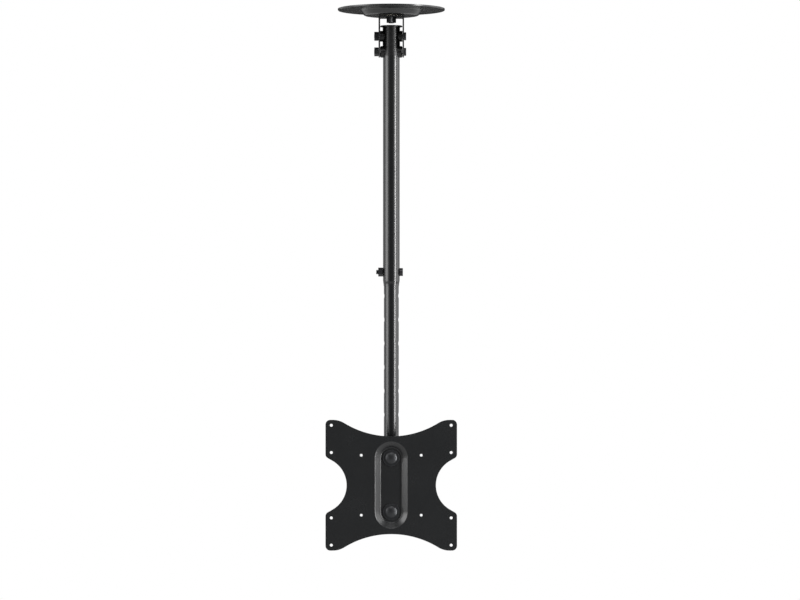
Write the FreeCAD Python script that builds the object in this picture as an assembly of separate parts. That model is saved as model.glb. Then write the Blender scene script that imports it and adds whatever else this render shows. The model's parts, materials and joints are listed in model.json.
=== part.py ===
import FreeCAD, Part
import math
import os

# Telescopic ceiling mount for a flat screen, in millimetres, +Z up.
# The origin is the centre of the face that lies against the ceiling, and the mount hangs below it.
# The cross bolts run along X, and the screen plate faces -Y.

# Fits between pieces, measured on the radius or between faces
pin_fit = 0.08
guide_fit = 0.06
slot_fit = 0.3
hole_fit = 0.25
thread_fit = 0.05
turn_gap = 0.1
side_gap = 0.3
slot_spare_deg = 1.0

# Ceiling plate: one pressed disc, whose hub makes room for the head of the swivel bolt
ceiling_d = 180.0
ceiling_sheet = 3.0
ceiling_rim_bevel = 0.7
hub_drop = 12.0
hub_base_d = 104.0
hub_face_d = 91.0
hub_bend_r = 3.0
screw_hole_d = 8.0
screw_circle_d = 142.0
screw_count = 4
screw_start_deg = 45.0

# Swivel bolt and what it clamps
swivel_d = 10.0
swivel_flats = 16.0
swivel_head_h = 6.3
swivel_washer_d = 21.0
swivel_washer_t = 2.0
swivel_nut_h = 8.0
swivel_tip = 1.0
friction_washer_d = 38.0
friction_washer_t = 0.6

# Cross bolts of the lean, height and tilt joints
cross_d = 8.0
cross_flats = 13.0
low_head_d = 13.4
cross_head_h = 3.5
height_head_h = 5.5
low_head_bevel = 0.4
socket_flats = 5.0
socket_deep = 2.0
lock_nut_h = 7.2
bolt_tip = 0.2
hex_bevel = 0.4

# Hanger bracket: a folded U whose cheeks carry the pole
hanger_sheet = 2.5
hanger_inner_w = 37.8
hanger_depth = 40.0
hanger_bend_r = 1.0
hanger_below_lock = 9.5
lean_pivot_z = -46.3
lock_radius = 26.2
lean_deg = 15.0

# Pole head: a cast plug with bosses that fill the gap to the cheeks
head_top_z = -28.7
head_bottom_z = -79.6
head_body_d = 29.2
head_flange_t = 2.0
head_flange_bevel = 0.6
head_boss_d = 18.4
head_lock_boss_d = 19.6
head_boss_bevel = 1.6
head_groove_d = 12.5
head_groove_w = 1.2
head_groove_deep = 0.8
spigot_l = 28.0
spigot_wall = 3.0
head_core_gap = 2.0

# Telescopic tubes
outer_tube_d = 28.0
outer_tube_wall = 1.0
outer_tube_below_bolt = 12.0
neck_l = 11.5
neck_lip_wall = 0.4
neck_bend_share = 0.24
inner_tube_d = 25.0
inner_tube_wall = 1.5
tube_overlap = 60.0
tube_below_pivot = 19.0

# Height bolt through both tubes, and the row of holes that it can be moved to
height_bolt_z = -443.0
height_nut_h = 8.0
height_bolt_tip = 3.4
height_hole_pitch = 40.0
height_hole_count = 7

# Slide bush and end plug, both moulded
bush_rim_h = 5.0
bush_plug_l = 12.0
bush_bore_d = 15.0
plug_cap_t = 2.0
plug_stem_l = 9.0
plug_bevel = 0.8

# Screen plate: a waisted sheet with an oblong pocket pressed into it
plate_z = -799.0
plate_face_y = -44.0
plate_sheet = 2.5
plate_side_margin = 9.7
plate_top_margin = 9.0
plate_corner_r = 8.0
waist_half_h = 81.6
waist_r = 150.0
shoulder_r = 36.0
side_waist_half_w = 74.5
side_waist_r = 47.0
side_slope_deg = 30.0
side_corner_r = 7.3

# Pocket of the screen plate
pocket_w = 54.5
pocket_l = 144.5
pocket_deep = 8.0
pocket_wall_run = 9.7
pocket_rim_r = 2.5
pocket_foot_r = 1.5

# Screw holes of the screen plate: two squares, and a pair between the corners of each side
large_pattern = 200.0
large_hole_d = 5.0
small_pattern = 100.0
small_hole_d = 4.6
side_hole_pitch = 109.0

# Plate bolts, with domed heads in the pocket
dome_d = 19.0
dome_h = 4.4
dome_edge_share = 0.4
dome_washer_d = 28.0
dome_washer_t = 1.6
back_washer_d = 16.0
back_washer_t = 1.6
plate_nut_h = 7.2

# Tilt bracket: a folded U bolted to the back of the pocket
tilt_sheet = 2.5
tilt_inner_w = 37.8
tilt_web_h = 124.0
tilt_bend_r = 2.0
tilt_web_corner_r = 8.0
tilt_ear_behind = 18.0
tilt_ear_above_lock = 14.8
tilt_ear_below = 16.0
tilt_ear_root_h = 104.0
tilt_ear_r = 13.0
tilt_up_deg = 5.0
tilt_down_deg = 15.0
spacer_d = 16.6

# How closely an edge has to match a place to be found there
match_within = 0.01

# Places and sizes that follow from the values above
quarter_turn = 90
half_turn = 180
swivel_r = swivel_d / 2
cross_r = cross_d / 2
outer_r = outer_tube_d / 2
outer_bore_r = outer_r - outer_tube_wall
inner_r = inner_tube_d / 2
inner_bore_r = inner_r - inner_tube_wall
hub_floor_z = ceiling_sheet - hub_drop
hanger_top_z = -hub_drop - friction_washer_t - turn_gap
hanger_half_w = hanger_inner_w / 2 + hanger_sheet
lean_lock_z = lean_pivot_z - lock_radius
hanger_bottom_z = lean_lock_z - hanger_below_lock
swivel_nut_z = hanger_top_z - hanger_sheet - turn_gap
inner_top_z = height_bolt_z + tube_overlap
inner_bottom_z = plate_z - tube_below_pivot
outer_tube_neck_z = height_bolt_z - outer_tube_below_bolt
tilt_lock_z = plate_z + lock_radius
tilt_half_w = tilt_inner_w / 2 + tilt_sheet
plate_half_w = large_pattern / 2 + plate_side_margin
plate_half_h = large_pattern / 2 + plate_top_margin
pocket_straight_l = pocket_l - pocket_w
pocket_floor_y = plate_face_y + pocket_deep
tilt_web_front_y = pocket_floor_y + plate_sheet
tilt_web_back_y = tilt_web_front_y + tilt_sheet


def vec(x, y, z):
    """A point or a direction."""
    return FreeCAD.Vector(x, y, z)


def post(radius, z_low, z_high, x=0.0, y=0.0):
    """Upright cylinder."""
    return Part.makeCylinder(radius, z_high - z_low, vec(x, y, z_low), vec(0, 0, 1))


def rod_x(radius, x_low, x_high, z):
    """Cylinder along X."""
    return Part.makeCylinder(radius, x_high - x_low, vec(x_low, 0, z), vec(1, 0, 0))


def rod_y(radius, y_low, y_high, x, z):
    """Cylinder along Y."""
    return Part.makeCylinder(radius, y_high - y_low, vec(x, y_low, z), vec(0, 1, 0))


def ring(outer, inner, z_low, z_high):
    """Upright ring or tube."""
    return post(outer, z_low, z_high).cut(post(inner, z_low, z_high))


def line(start, end):
    """Straight edge."""
    return Part.LineSegment(start, end).toShape()


def arc(start, middle, end):
    """Round edge through three points."""
    return Part.Arc(start, middle, end).toShape()


def rounded_face(corners, place):
    """Face inside (u, v, radius) corners, each rounded by its radius. place turns u, v into a point."""
    joins = []
    for index, (u, v, radius) in enumerate(corners):
        here = place(u, v)
        back = place(*corners[index - 1][:2]) - here
        ahead = place(*corners[(index + 1) % len(corners)][:2]) - here
        half = back.getAngle(ahead) / 2
        back.normalize()
        ahead.normalize()
        bisector = back + ahead
        bisector.normalize()
        reach = radius / math.tan(half)
        crown = here + bisector * (radius / math.sin(half) - radius)
        joins.append((here + back * reach, crown, here + ahead * reach, radius))
    edges = []
    for index, (start, crown, end, radius) in enumerate(joins):
        following = joins[(index + 1) % len(joins)][0]
        if radius > 0:
            edges.append(arc(start, crown, end))
        if (following - end).Length > Part.Precision.confusion():
            edges.append(line(end, following))
    return Part.Face(Part.Wire(edges))


def in_rz(r, z):
    """Point of a profile that is turned about Z."""
    return vec(r, 0, z)


def turned(corners):
    """Solid turned about Z from a rounded profile of (r, z, radius) corners."""
    return rounded_face(corners, in_rz).revolve(vec(0, 0, 0), vec(0, 0, 1), 360)


def hexagon(flats, thickness):
    """Hexagonal prism on Z from z = 0, with corners at +X and -X."""
    corner = flats / math.sqrt(3)
    points = []
    for index in range(7):
        angle = math.radians(60 * index)
        points.append(vec(corner * math.cos(angle), corner * math.sin(angle), 0))
    return Part.Face(Part.makePolygon(points)).extrude(vec(0, 0, thickness))


def bevelled_hexagon(flats, thickness):
    """Hexagonal prism whose corners are turned off at its top."""
    corner = flats / math.sqrt(3)
    cap = turned([(0, 0, 0), (corner, 0, 0), (corner, thickness - hex_bevel, 0),
                  (corner - 2 * hex_bevel, thickness, 0), (0, thickness, 0)])
    return hexagon(flats, thickness).common(cap)


def lock_nut(flats, height, bolt_radius):
    """All-metal lock nut on Z from z = 0: a hexagon whose corners are turned off at both ends."""
    nut = bevelled_hexagon(flats, height)
    turned_over = nut.copy()
    turned_over.rotate(vec(0, 0, height / 2), vec(1, 0, 0), half_turn)
    return nut.common(turned_over).cut(post(bolt_radius + thread_fit, 0, height))


def socket_bolt(head_h, shank_l):
    """Bolt on Z with its head up from z = 0: low, round, bevelled, with a hex socket."""
    radius = low_head_d / 2
    head = turned([(0, 0, 0), (radius, 0, 0), (radius, head_h - low_head_bevel, 0),
                   (radius - low_head_bevel, head_h, 0), (0, head_h, 0)])
    socket = hexagon(socket_flats, socket_deep)
    socket.translate(vec(0, 0, head_h - socket_deep))
    return head.fuse(post(cross_r, -shank_l, 0)).cut(socket)


def domed_head(diameter, height):
    """Low domed head on Z from z = 0, with a short straight edge."""
    edge_h = height * dome_edge_share
    radius = diameter / 2
    rise = height - edge_h
    dome_r = (radius ** 2 + rise ** 2) / (2 * rise)
    half_deg = math.asin(radius / dome_r) / 2
    crown = vec(dome_r * math.sin(half_deg), 0, height - dome_r * (1 - math.cos(half_deg)))
    edges = [line(vec(0, 0, 0), vec(radius, 0, 0)),
             line(vec(radius, 0, 0), vec(radius, 0, edge_h)),
             arc(vec(radius, 0, edge_h), crown, vec(0, 0, height)),
             line(vec(0, 0, height), vec(0, 0, 0))]
    return Part.Face(Part.Wire(edges)).revolve(vec(0, 0, 0), vec(0, 0, 1), 360)


def laid(shape, axis, x, y, z):
    """A copy of a piece built on Z, turned so that its Z points along axis, and moved."""
    copy = shape.copy()
    copy.Placement = FreeCAD.Placement(vec(x, y, z), FreeCAD.Rotation(vec(0, 0, 1), axis))
    return copy


def along_x(shape, way, x, z):
    """A piece built on Z, laid along +X (way = 1) or -X (way = -1) at x and z."""
    return laid(shape, vec(way, 0, 0), x, 0, z)


def cross_bolt(half_width, z):
    """Bolt through a pair of cheeks, head at +X, tip beyond its nut at -X."""
    seat = half_width + turn_gap
    return along_x(socket_bolt(cross_head_h, 2 * seat + lock_nut_h + bolt_tip), 1, seat, z)


def cross_nut(half_width, z):
    """Lock nut of a cross bolt, against the outside of the cheek at -X."""
    return along_x(lock_nut(cross_flats, lock_nut_h, cross_r), -1, -half_width - turn_gap, z)


def folded_u(inner_w, sheet, bend_r, across):
    """Closed corner list of a U folded from sheet: web at v = 0, legs down to v = -across."""
    inside = inner_w / 2
    outside = inside + sheet
    return [(-outside, -across, 0), (-outside, 0, bend_r + sheet), (outside, 0, bend_r + sheet),
            (outside, -across, 0), (inside, -across, 0), (inside, -sheet, bend_r),
            (-inside, -sheet, bend_r), (-inside, -across, 0)]


def arc_slot(z_pivot, up, from_deg, to_deg, half_width, half_length):
    """Cutter along X for a slot bent round a pivot. Angles run from the vertical towards +Y."""
    def at(radius, degrees):
        angle = math.radians(degrees)
        return vec(-half_length, radius * math.sin(angle), z_pivot + up * radius * math.cos(angle))

    middle_deg = (from_deg + to_deg) / 2
    outer = lock_radius + half_width
    inner = lock_radius - half_width
    end_turn = math.degrees(half_width / lock_radius)
    edges = [arc(at(outer, from_deg), at(outer, middle_deg), at(outer, to_deg)),
             arc(at(outer, to_deg), at(lock_radius, to_deg + end_turn), at(inner, to_deg)),
             arc(at(inner, to_deg), at(inner, middle_deg), at(inner, from_deg)),
             arc(at(inner, from_deg), at(lock_radius, from_deg - end_turn), at(outer, from_deg))]
    return Part.Face(Part.Wire(edges)).extrude(vec(2 * half_length, 0, 0))


def ceiling_plate():
    """Pressed disc with a sloped hub, the swivel hole and the screw holes of the brim."""
    hole_r = swivel_r + hole_fit
    face_r = hub_face_d / 2
    base_r = hub_base_d / 2
    wall_angle = math.atan2(hub_drop - ceiling_sheet, base_r - face_r)
    slope = (base_r - face_r) / (hub_drop - ceiling_sheet)
    wall_shift = ceiling_sheet / math.sin(wall_angle)
    inner_base_r = base_r + ceiling_sheet * slope - wall_shift
    inner_face_r = face_r + ceiling_sheet * slope - wall_shift
    outer_bend_r = hub_bend_r + ceiling_sheet
    plate = turned([(hole_r, -hub_drop, 0), (face_r, -hub_drop, outer_bend_r),
                    (base_r, -ceiling_sheet, hub_bend_r),
                    (ceiling_d / 2 - ceiling_rim_bevel, -ceiling_sheet, 0),
                    (ceiling_d / 2, ceiling_rim_bevel - ceiling_sheet, 0), (ceiling_d / 2, 0, 0),
                    (inner_base_r, 0, outer_bend_r), (inner_face_r, hub_floor_z, hub_bend_r),
                    (hole_r, hub_floor_z, 0)])
    for index in range(screw_count):
        angle = math.radians(screw_start_deg + 360 * index / screw_count)
        x = screw_circle_d / 2 * math.cos(angle)
        y = screw_circle_d / 2 * math.sin(angle)
        plate = plate.cut(post(screw_hole_d / 2, -ceiling_sheet, 0, x, y))
    return plate


def swivel_bolt():
    """Hexagon bolt that hangs in the hub, head up."""
    seat_z = hub_floor_z + swivel_washer_t
    tip_z = swivel_nut_z - swivel_nut_h - swivel_tip
    head = bevelled_hexagon(swivel_flats, swivel_head_h)
    head.rotate(vec(0, 0, 0), vec(0, 0, 1), quarter_turn)
    head.translate(vec(0, 0, seat_z))
    return head.fuse(post(swivel_r, tip_z, seat_z))


def swivel_head_washer():
    """Steel washer under the head of the swivel bolt."""
    return ring(swivel_washer_d / 2, swivel_r + hole_fit, hub_floor_z, hub_floor_z + swivel_washer_t)


def friction_washer():
    """Thin plastic washer between the hub and the hanger bracket."""
    return ring(friction_washer_d / 2, swivel_r + hole_fit, -hub_drop - friction_washer_t, -hub_drop)


def swivel_nut():
    """Lock nut under the web of the hanger bracket."""
    nut = lock_nut(swivel_flats, swivel_nut_h, swivel_r)
    nut.rotate(vec(0, 0, 0), vec(0, 0, 1), quarter_turn)
    nut.translate(vec(0, 0, swivel_nut_z - swivel_nut_h))
    return nut


def hanger_bracket():
    """Folded U with round-ended cheeks, pivot holes and slots for the lean lock bolt."""
    drop = hanger_top_z - hanger_bottom_z
    half_depth = hanger_depth / 2
    corners = folded_u(hanger_inner_w, hanger_sheet, hanger_bend_r, drop)
    fold = rounded_face(corners, lambda u, v: vec(u, -half_depth, hanger_top_z + v))
    fold = fold.extrude(vec(0, hanger_depth, 0))
    side = [(-half_depth, hanger_top_z, 0), (half_depth, hanger_top_z, 0),
            (half_depth, hanger_bottom_z, half_depth), (-half_depth, hanger_bottom_z, half_depth)]
    outline = rounded_face(side, lambda u, v: vec(-hanger_half_w, u, v))
    bracket = fold.common(outline.extrude(vec(2 * hanger_half_w, 0, 0)))
    bracket = bracket.cut(post(swivel_r + pin_fit, hanger_top_z - hanger_sheet, hanger_top_z))
    bracket = bracket.cut(rod_x(cross_r + pin_fit, -hanger_half_w, hanger_half_w, lean_pivot_z))
    reach = lean_deg + slot_spare_deg
    slot = arc_slot(lean_pivot_z, -1, -reach, reach, cross_r + slot_fit, hanger_half_w)
    return bracket.cut(slot)


def pole_head():
    """Cast plug: flange, round body, two pairs of bosses and a hollow spigot in the tube."""
    boss_x = hanger_inner_w / 2 - turn_gap
    flange_r = hanger_inner_w / 2 - side_gap
    body_r = head_body_d / 2
    spigot_z = head_bottom_z - spigot_l
    body = turned([(0, spigot_z, 0), (outer_bore_r, spigot_z, 0), (outer_bore_r, head_bottom_z, 0),
                   (body_r, head_bottom_z, 0), (body_r, head_top_z - head_flange_t, 0),
                   (flange_r, head_top_z - head_flange_t, 0),
                   (flange_r, head_top_z - head_flange_bevel, 0),
                   (flange_r - head_flange_bevel, head_top_z, 0), (0, head_top_z, 0)])
    pivot_boss = rod_x(head_boss_d / 2, -boss_x, boss_x, lean_pivot_z)
    lock_half = turned([(0, 0, 0), (head_lock_boss_d / 2, 0, 0),
                        (head_lock_boss_d / 2, boss_x - head_boss_bevel, 0),
                        (head_lock_boss_d / 2 - head_boss_bevel, boss_x, 0), (0, boss_x, 0)])
    groove = ring(head_groove_d / 2 + head_groove_w, head_groove_d / 2, boss_x - head_groove_deep, boss_x)
    lock_half = lock_half.cut(groove)
    bosses = pivot_boss.fuse(along_x(lock_half, 1, 0, lean_lock_z))
    bosses = bosses.fuse(along_x(lock_half, -1, 0, lean_lock_z))
    bosses = bosses.cut(post(outer_r, spigot_z, head_bottom_z))
    head = body.fuse(bosses)
    head = head.cut(post(outer_bore_r - spigot_wall, spigot_z, head_bottom_z - head_core_gap))
    for z in (lean_pivot_z, lean_lock_z):
        head = head.cut(rod_x(cross_r + hole_fit, -boss_x, boss_x, z))
    return head.removeSplitter()


def outer_tube():
    """Fixed tube of the pole, necked down at its end to guide the sliding tube."""
    guide_r = inner_r + guide_fit
    lip_r = guide_r + neck_lip_wall
    lip_z = outer_tube_neck_z - neck_l
    upper_z = outer_tube_neck_z - neck_l / 4
    lower_z = lip_z + neck_l / 4
    turn = math.atan2(outer_r - lip_r, upper_z - lower_z)
    bend_r = neck_bend_share * neck_l / math.tan(turn / 2)
    tube = turned([(outer_bore_r, head_bottom_z, 0), (outer_bore_r, upper_z, 0), (guide_r, lower_z, 0),
                   (guide_r, lip_z, 0), (lip_r, lip_z, neck_lip_wall / 2), (lip_r, lower_z, bend_r),
                   (outer_r, upper_z, bend_r), (outer_r, head_bottom_z, 0)])
    return tube.cut(rod_x(cross_r + hole_fit, -outer_r, outer_r, height_bolt_z))


def height_bolt():
    """Bolt through both tubes, head at +X."""
    shank_l = outer_tube_d + height_nut_h + height_bolt_tip
    return along_x(socket_bolt(height_head_h, shank_l), 1, outer_r, height_bolt_z)


def height_nut():
    """Lock nut of the height bolt, at -X."""
    return along_x(lock_nut(cross_flats, height_nut_h, cross_r), -1, -outer_r, height_bolt_z)


def inner_tube():
    """Sliding tube with its row of height holes and the holes of the tilt bolts."""
    tube = ring(inner_r, inner_bore_r, inner_bottom_z, inner_top_z)
    heights = [height_bolt_z - index * height_hole_pitch for index in range(height_hole_count)]
    for z in heights + [tilt_lock_z, plate_z]:
        tube = tube.cut(rod_x(cross_r + hole_fit, -inner_r, inner_r, z))
    return tube


def slide_bush():
    """Moulded bush on the top of the sliding tube, running in the outer tube."""
    rim_r = outer_bore_r - guide_fit
    top_z = inner_top_z + bush_rim_h
    return turned([(bush_bore_d / 2, inner_top_z - bush_plug_l, 0),
                   (inner_bore_r, inner_top_z - bush_plug_l, 0), (inner_bore_r, inner_top_z, 0),
                   (rim_r, inner_top_z, 0), (rim_r, top_z, 0), (bush_bore_d / 2, top_z, 0)])


def tube_end_plug():
    """Moulded plug that closes the bottom of the sliding tube."""
    cap_z = inner_bottom_z - plug_cap_t
    return turned([(0, cap_z, 0), (inner_r - plug_bevel, cap_z, 0),
                   (inner_r, cap_z + plug_bevel, 0), (inner_r, inner_bottom_z, 0),
                   (inner_bore_r, inner_bottom_z, 0), (inner_bore_r, inner_bottom_z + plug_stem_l, 0),
                   (0, inner_bottom_z + plug_stem_l, 0)])


def saddle_spacers():
    """Four moulded spacers that fill the gap between the sliding tube and the tilt bracket."""
    spacers = []
    seat_x = tilt_inner_w / 2 - turn_gap
    for z in (plate_z, tilt_lock_z):
        for way in (1, -1):
            spacer = along_x(post(spacer_d / 2, 0, seat_x), way, 0, z)
            spacer = spacer.cut(post(inner_r, z - spacer_d, z + spacer_d))
            spacers.append(spacer.cut(rod_x(cross_r + hole_fit, -seat_x, seat_x, z)))
    return Part.makeCompound(spacers)


def quarter_outline():
    """Edges of the screen plate from its side waist to its top waist, in the first quadrant."""
    def at(x, z):
        return vec(x, plate_face_y, plate_z + z)

    def on_circle(centre_x, centre_z, radius, degrees):
        angle = math.radians(degrees)
        return at(centre_x + radius * math.cos(angle), centre_z + radius * math.sin(angle))

    side_x = side_waist_half_w + side_waist_r
    side_end_deg = 90 + side_slope_deg
    side_end_x = side_x - side_waist_r * math.sin(math.radians(side_slope_deg))
    side_end_z = side_waist_r * math.cos(math.radians(side_slope_deg))
    side_mid_deg = (180 + side_end_deg) / 2
    corner_z = side_end_z + (plate_half_w - side_end_x) * math.tan(math.radians(side_slope_deg))
    corner_reach = side_corner_r * math.tan(math.radians((90 - side_slope_deg) / 2))
    side_corner_x = plate_half_w - side_corner_r
    side_corner_z = corner_z + corner_reach
    top_corner_x = plate_half_w - plate_corner_r
    top_corner_z = plate_half_h - plate_corner_r
    waist_z = waist_half_h + waist_r
    shoulder_z = plate_half_h - shoulder_r
    shoulder_x = math.sqrt((waist_r + shoulder_r) ** 2 - (waist_z - shoulder_z) ** 2)
    shoulder_deg = math.degrees(math.atan2(waist_z - shoulder_z, -shoulder_x))
    waist_end_deg = shoulder_deg - 180
    waist_mid_deg = (-90 + waist_end_deg) / 2
    return [
        arc(at(side_waist_half_w, 0), on_circle(side_x, 0, side_waist_r, side_mid_deg),
            on_circle(side_x, 0, side_waist_r, side_end_deg)),
        line(on_circle(side_x, 0, side_waist_r, side_end_deg),
             on_circle(side_corner_x, side_corner_z, side_corner_r, side_slope_deg - 90)),
        arc(on_circle(side_corner_x, side_corner_z, side_corner_r, side_slope_deg - 90),
            on_circle(side_corner_x, side_corner_z, side_corner_r, (side_slope_deg - 90) / 2),
            at(plate_half_w, side_corner_z)),
        line(at(plate_half_w, side_corner_z), at(plate_half_w, top_corner_z)),
        arc(at(plate_half_w, top_corner_z),
            on_circle(top_corner_x, top_corner_z, plate_corner_r, 45), at(top_corner_x, plate_half_h)),
        line(at(top_corner_x, plate_half_h), at(shoulder_x, plate_half_h)),
        arc(at(shoulder_x, plate_half_h),
            on_circle(shoulder_x, shoulder_z, shoulder_r, (90 + shoulder_deg) / 2),
            on_circle(shoulder_x, shoulder_z, shoulder_r, shoulder_deg)),
        arc(on_circle(0, waist_z, waist_r, waist_end_deg),
            on_circle(0, waist_z, waist_r, waist_mid_deg), at(0, waist_half_h)),
    ]


def stadium(radius, y):
    """Wire of an upright oblong with round ends, centred on the screen plate."""
    high = plate_z + pocket_straight_l / 2
    low = plate_z - pocket_straight_l / 2
    return Part.Wire([line(vec(radius, y, low), vec(radius, y, high)),
                      arc(vec(radius, y, high), vec(0, y, high + radius), vec(-radius, y, high)),
                      line(vec(-radius, y, high), vec(-radius, y, low)),
                      arc(vec(-radius, y, low), vec(0, y, low - radius), vec(radius, y, low))])


def edges_at(shape, y, radius):
    """Edges of the pocket that lie in the plane y, on the oblong of this radius."""
    found = []
    for edge in shape.Edges:
        box = edge.BoundBox
        if max(abs(box.YMin - y), abs(box.YMax - y)) > match_within:
            continue
        middle = edge.valueAt((edge.FirstParameter + edge.LastParameter) / 2)
        beyond = max(abs(middle.z - plate_z) - pocket_straight_l / 2, 0)
        if abs(math.hypot(middle.x, beyond) - radius) < match_within:
            found.append(edge)
    return found


def screen_plate():
    """Waisted sheet with its pocket, rounded rim and screw holes."""
    quarter = quarter_outline()
    edges = []
    for flip_x in (False, True):
        for flip_z in (False, True):
            for edge in quarter:
                copy = edge.copy()
                if flip_x:
                    copy = copy.mirror(vec(0, 0, 0), vec(1, 0, 0))
                if flip_z:
                    copy = copy.mirror(vec(0, 0, plate_z), vec(0, 0, 1))
                edges.append(copy)
    outline = Part.Wire(Part.__sortEdges__(edges))
    plate = Part.Face(outline).extrude(vec(0, plate_sheet, 0))
    slope = pocket_wall_run / pocket_deep
    wall_shift = plate_sheet / math.sin(math.atan2(pocket_deep, pocket_wall_run))
    front_r = pocket_w / 2
    foot_r = front_r - pocket_wall_run
    back_root_r = front_r - plate_sheet * slope + wall_shift
    back_foot_r = foot_r - plate_sheet * slope + wall_shift
    back_y = plate_face_y + plate_sheet
    shell = Part.makeLoft([stadium(back_root_r, back_y), stadium(back_foot_r, tilt_web_front_y)], True, True)
    hollow = Part.makeLoft([stadium(front_r, plate_face_y), stadium(foot_r, pocket_floor_y)], True, True)
    plate = plate.fuse(shell).cut(hollow)
    plate = plate.makeFillet(pocket_rim_r, edges_at(plate, plate_face_y, front_r))
    plate = plate.makeFillet(pocket_foot_r, edges_at(plate, pocket_floor_y, foot_r))
    plate = plate.makeFillet(pocket_foot_r, edges_at(plate, tilt_web_front_y, back_foot_r))
    for wide, high, hole_d in ((large_pattern, large_pattern, large_hole_d),
                               (large_pattern, side_hole_pitch, large_hole_d),
                               (small_pattern, small_pattern, small_hole_d)):
        for x in (-wide / 2, wide / 2):
            for z in (-high / 2, high / 2):
                plate = plate.cut(rod_y(hole_d / 2, plate_face_y, back_y, x, plate_z + z))
    for z in plate_bolt_heights():
        plate = plate.cut(rod_y(cross_r + hole_fit, pocket_floor_y, tilt_web_front_y, 0, z))
    return plate.removeSplitter()


def plate_bolt_heights():
    """The plate bolts sit at the centres of the pocket's round ends."""
    return (plate_z - pocket_straight_l / 2, plate_z + pocket_straight_l / 2)


def in_pocket(make):
    """One copy of a piece at each plate bolt. make(z) gives the piece at that height."""
    return Part.makeCompound([make(z) for z in plate_bolt_heights()])


def plate_bolts():
    """Domed bolts that hold the screen plate to the tilt bracket."""
    seat_y = pocket_floor_y - dome_washer_t
    tip_y = tilt_web_back_y + back_washer_t + plate_nut_h + bolt_tip

    def bolt(z):
        head = laid(domed_head(dome_d, dome_h), vec(0, -1, 0), 0, seat_y, z)
        return head.fuse(rod_y(cross_r, seat_y, tip_y, 0, z))

    return in_pocket(bolt)


def washer_y(diameter, y_low, y_high, z):
    """Washer on a plate bolt."""
    hole = rod_y(cross_r + hole_fit, y_low, y_high, 0, z)
    return rod_y(diameter / 2, y_low, y_high, 0, z).cut(hole)


def dome_washers():
    """Wide washers under the domed heads."""
    return in_pocket(lambda z: washer_y(dome_washer_d, pocket_floor_y - dome_washer_t, pocket_floor_y, z))


def back_washers():
    """Washers under the nuts, inside the tilt bracket."""
    return in_pocket(lambda z: washer_y(back_washer_d, tilt_web_back_y,
                                        tilt_web_back_y + back_washer_t, z))


def plate_nuts():
    """Lock nuts of the plate bolts."""
    seat_y = tilt_web_back_y + back_washer_t
    return in_pocket(lambda z: laid(lock_nut(cross_flats, plate_nut_h, cross_r),
                                    vec(0, 1, 0), 0, seat_y, z))


def tilt_bracket():
    """Folded U: a long web on the pocket, and two ears with pivot hole and tilt slot."""
    half_h = tilt_web_h / 2
    depth = tilt_ear_behind - tilt_web_front_y
    corners = folded_u(tilt_inner_w, tilt_sheet, tilt_bend_r, depth)
    fold = rounded_face(corners, lambda u, v: vec(u, tilt_web_front_y - v, plate_z - half_h))
    fold = fold.extrude(vec(0, 0, tilt_web_h))
    root_y = tilt_web_front_y + tilt_sheet + tilt_bend_r
    root_h = tilt_ear_root_h / 2
    ear_top = lock_radius + tilt_ear_above_lock
    side = [(tilt_web_front_y, -half_h, 0), (root_y, -half_h, tilt_bend_r), (root_y, -root_h, 0),
            (tilt_ear_behind, -tilt_ear_below, tilt_ear_r), (tilt_ear_behind, ear_top, tilt_ear_r),
            (root_y, root_h, 0), (root_y, half_h, tilt_bend_r), (tilt_web_front_y, half_h, 0)]
    outline = rounded_face(side, lambda u, v: vec(-tilt_half_w, u, plate_z + v))
    bracket = fold.common(outline.extrude(vec(2 * tilt_half_w, 0, 0)))
    front = [(-tilt_half_w, -half_h, tilt_web_corner_r), (tilt_half_w, -half_h, tilt_web_corner_r),
             (tilt_half_w, half_h, tilt_web_corner_r), (-tilt_half_w, half_h, tilt_web_corner_r)]
    outline = rounded_face(front, lambda u, v: vec(u, tilt_web_front_y, plate_z + v))
    bracket = bracket.common(outline.extrude(vec(0, depth, 0)))
    bracket = bracket.cut(rod_x(cross_r + pin_fit, -tilt_half_w, tilt_half_w, plate_z))
    slot = arc_slot(plate_z, 1, -tilt_up_deg - slot_spare_deg, tilt_down_deg + slot_spare_deg,
                    cross_r + slot_fit, tilt_half_w)
    bracket = bracket.cut(slot)
    for z in plate_bolt_heights():
        bracket = bracket.cut(rod_y(cross_r + hole_fit, tilt_web_front_y, tilt_web_back_y, 0, z))
    return bracket


nodes = {
    "ceiling_plate": ceiling_plate(),
    "swivel_bolt": swivel_bolt(),
    "swivel_head_washer": swivel_head_washer(),
    "friction_washer": friction_washer(),
    "swivel_nut": swivel_nut(),
    "hanger_bracket": hanger_bracket(),
    "pole_head": pole_head(),
    "lean_pivot_bolt": cross_bolt(hanger_half_w, lean_pivot_z),
    "lean_pivot_nut": cross_nut(hanger_half_w, lean_pivot_z),
    "lean_lock_bolt": cross_bolt(hanger_half_w, lean_lock_z),
    "lean_lock_nut": cross_nut(hanger_half_w, lean_lock_z),
    "outer_tube": outer_tube(),
    "height_bolt": height_bolt(),
    "height_nut": height_nut(),
    "inner_tube": inner_tube(),
    "slide_bush": slide_bush(),
    "tube_end_plug": tube_end_plug(),
    "saddle_spacers": saddle_spacers(),
    "tilt_pivot_bolt": cross_bolt(tilt_half_w, plate_z),
    "tilt_pivot_nut": cross_nut(tilt_half_w, plate_z),
    "tilt_lock_bolt": cross_bolt(tilt_half_w, tilt_lock_z),
    "tilt_lock_nut": cross_nut(tilt_half_w, tilt_lock_z),
    "tilt_bracket": tilt_bracket(),
    "screen_plate": screen_plate(),
    "plate_bolts": plate_bolts(),
    "dome_washers": dome_washers(),
    "back_washers": back_washers(),
    "plate_nuts": plate_nuts(),
}

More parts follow.
